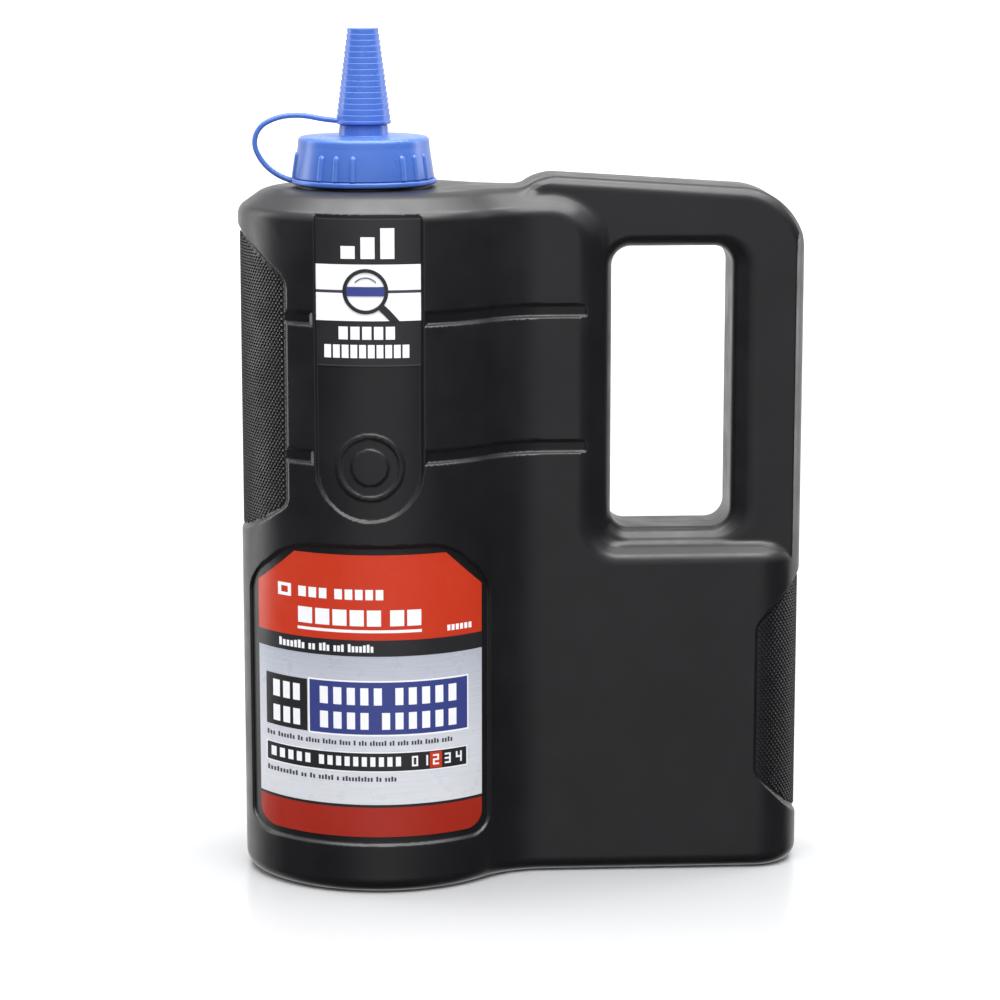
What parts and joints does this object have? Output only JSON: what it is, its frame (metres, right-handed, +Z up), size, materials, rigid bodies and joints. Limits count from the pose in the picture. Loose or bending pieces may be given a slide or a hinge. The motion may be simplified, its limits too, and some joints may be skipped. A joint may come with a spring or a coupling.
{
  "type": "chalk refill bottle",
  "caption": "Powder refill bottle with side handle, threaded neck, turning screw cap with pouring spout, and a pull-off tip cover on a tether strap.",
  "frame": {"origin": "middle of the footprint on the standing surface", "axes": "+Z up along the neck, +X from the neck towards the handle, -Y towards the printed front"},
  "size_m": [0.176, 0.078, 0.2644],
  "materials": {
    "bottle_black": "satin",
    "cap_blue": "satin",
    "label_print": "satin",
    "chalk": "matte",
    "liner_foam": "matte"
  },
  "bodies": {
    "jug": {"bottle": "bottle_black", "chalk_powder": "chalk", "front_label": "label_print", "rear_label": "label_print", "upper_label": "label_print"},
    "tether": {"tether_ring": "cap_blue", "tether_strap": "cap_blue"},
    "cap": {"screw_cap": "cap_blue", "cap_liner": "liner_foam"},
    "cover": {"tip_cover": "cap_blue"}
  },
  "joints": [
    {"name": "cap_lift", "type": "slide", "parent": "jug", "child": "tether", "axis": [0, 0, 1], "range_m": [0, 0.00636]},
    {"name": "cap_turn", "type": "hinge", "parent": "tether", "child": "cap", "pos_m": [-0.04895, 0, 0.22], "axis": [0, 0, 1], "range_deg": [0, 540]},
    {"name": "tip_cover_pull", "type": "slide", "parent": "tether", "child": "cover", "axis": [0, 0, 1], "range_m": [0, 0.027], "deforming": ["tether_strap"]}
  ],
  "couplings": [
    {"joint": "cap_lift", "follows": "cap_turn", "m_per_rad": 0.00067375}
  ]
}
